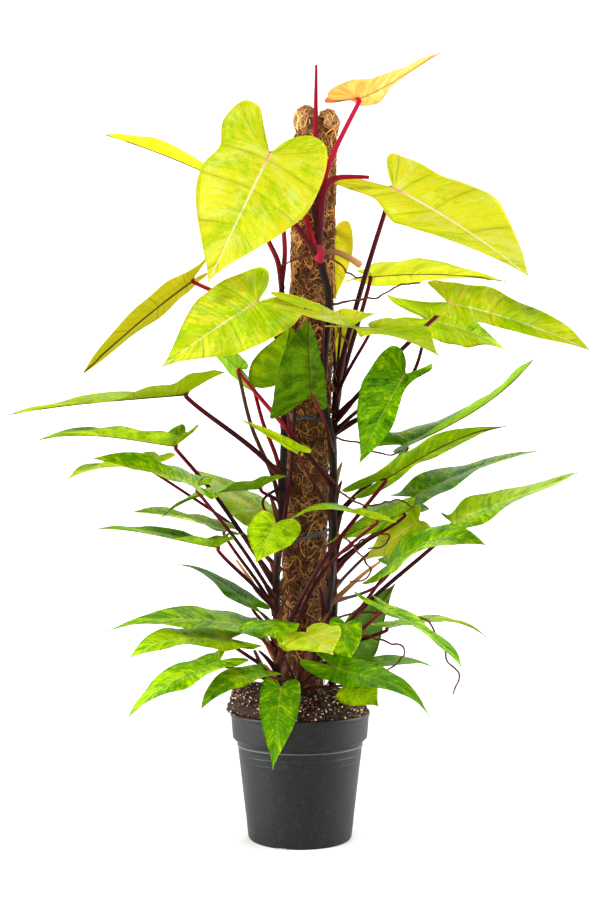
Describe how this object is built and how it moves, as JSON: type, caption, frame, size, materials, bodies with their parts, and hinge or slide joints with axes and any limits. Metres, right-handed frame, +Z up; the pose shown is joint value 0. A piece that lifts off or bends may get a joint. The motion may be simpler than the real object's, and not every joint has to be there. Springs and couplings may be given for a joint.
{
  "type": "potted climbing philodendron",
  "caption": "Tall climbing philodendron with mottled arrow and heart shaped leaves on maroon stalks, tied to a coir pole in a round nursery pot.",
  "frame": {"origin": "centre of the pot's foot, at the floor it stands on", "axes": "+Z up along the pot's axis, -Y towards the side the picture shows, +X to that side's right"},
  "size_m": [0.9582, 0.4362, 1.3765],
  "materials": {
    "pot_plastic": "matte moulded plastic, dark grey",
    "soil": "dark peat with bark and pale perlite",
    "coir": "rough coconut fibre",
    "tie_grey": "smooth grey-blue plastic",
    "tie_green": "smooth green plastic",
    "vine": "smooth maroon stalks with brown papery sheaths",
    "leaf_green": "satin leaf, green mottled with lime",
    "leaf_lime": "satin leaf, lime yellow mottled with green",
    "leaf_orange": "satin new leaf, apricot orange"
  },
  "bodies": {
    "root": {"pot": "pot_plastic", "soil": "soil", "coir_pole": "coir", "tie_upper": "tie_grey", "tie_middle": "tie_grey", "tie_lower": "tie_green", "vine_left": "vine", "vine_front": "vine", "vine_right": "vine", "leaf_01": "leaf_lime", "leaf_02": "leaf_green", "leaf_03": "leaf_orange", "leaf_04": "leaf_lime", "leaf_05": "leaf_green", "leaf_06": "leaf_lime", "leaf_07": "leaf_green", "leaf_08": "leaf_lime", "leaf_09": "leaf_green", "leaf_10": "leaf_green", "leaf_11": "leaf_green", "leaf_12": "leaf_lime", "leaf_13": "leaf_green", "leaf_14": "leaf_green", "leaf_15": "leaf_green", "leaf_16": "leaf_green", "leaf_17": "leaf_green", "leaf_18": "leaf_green", "leaf_19": "leaf_green", "leaf_20": "leaf_green", "leaf_21": "leaf_green", "leaf_22": "leaf_green", "leaf_23": "leaf_green", "leaf_24": "leaf_green", "leaf_25": "leaf_green", "leaf_26": "leaf_lime", "leaf_27": "leaf_green", "leaf_28": "leaf_green", "leaf_29": "leaf_green", "leaf_30": "leaf_green", "leaf_31": "leaf_green", "leaf_32": "leaf_green", "leaf_33": "leaf_green", "leaf_34": "leaf_green", "leaf_35": "leaf_green", "leaf_36": "leaf_green", "leaf_37": "leaf_green", "leaf_38": "leaf_green", "leaf_39": "leaf_green", "leaf_40": "leaf_green", "leaf_41": "leaf_lime", "leaf_42": "leaf_green", "leaf_43": "leaf_lime", "leaf_44": "leaf_lime", "leaf_45": "leaf_green", "leaf_46": "leaf_green", "leaf_47": "leaf_green", "leaf_48": "leaf_green", "leaf_49": "leaf_green", "leaf_50": "leaf_green", "leaf_51": "leaf_green"}
  },
  "joints": []
}
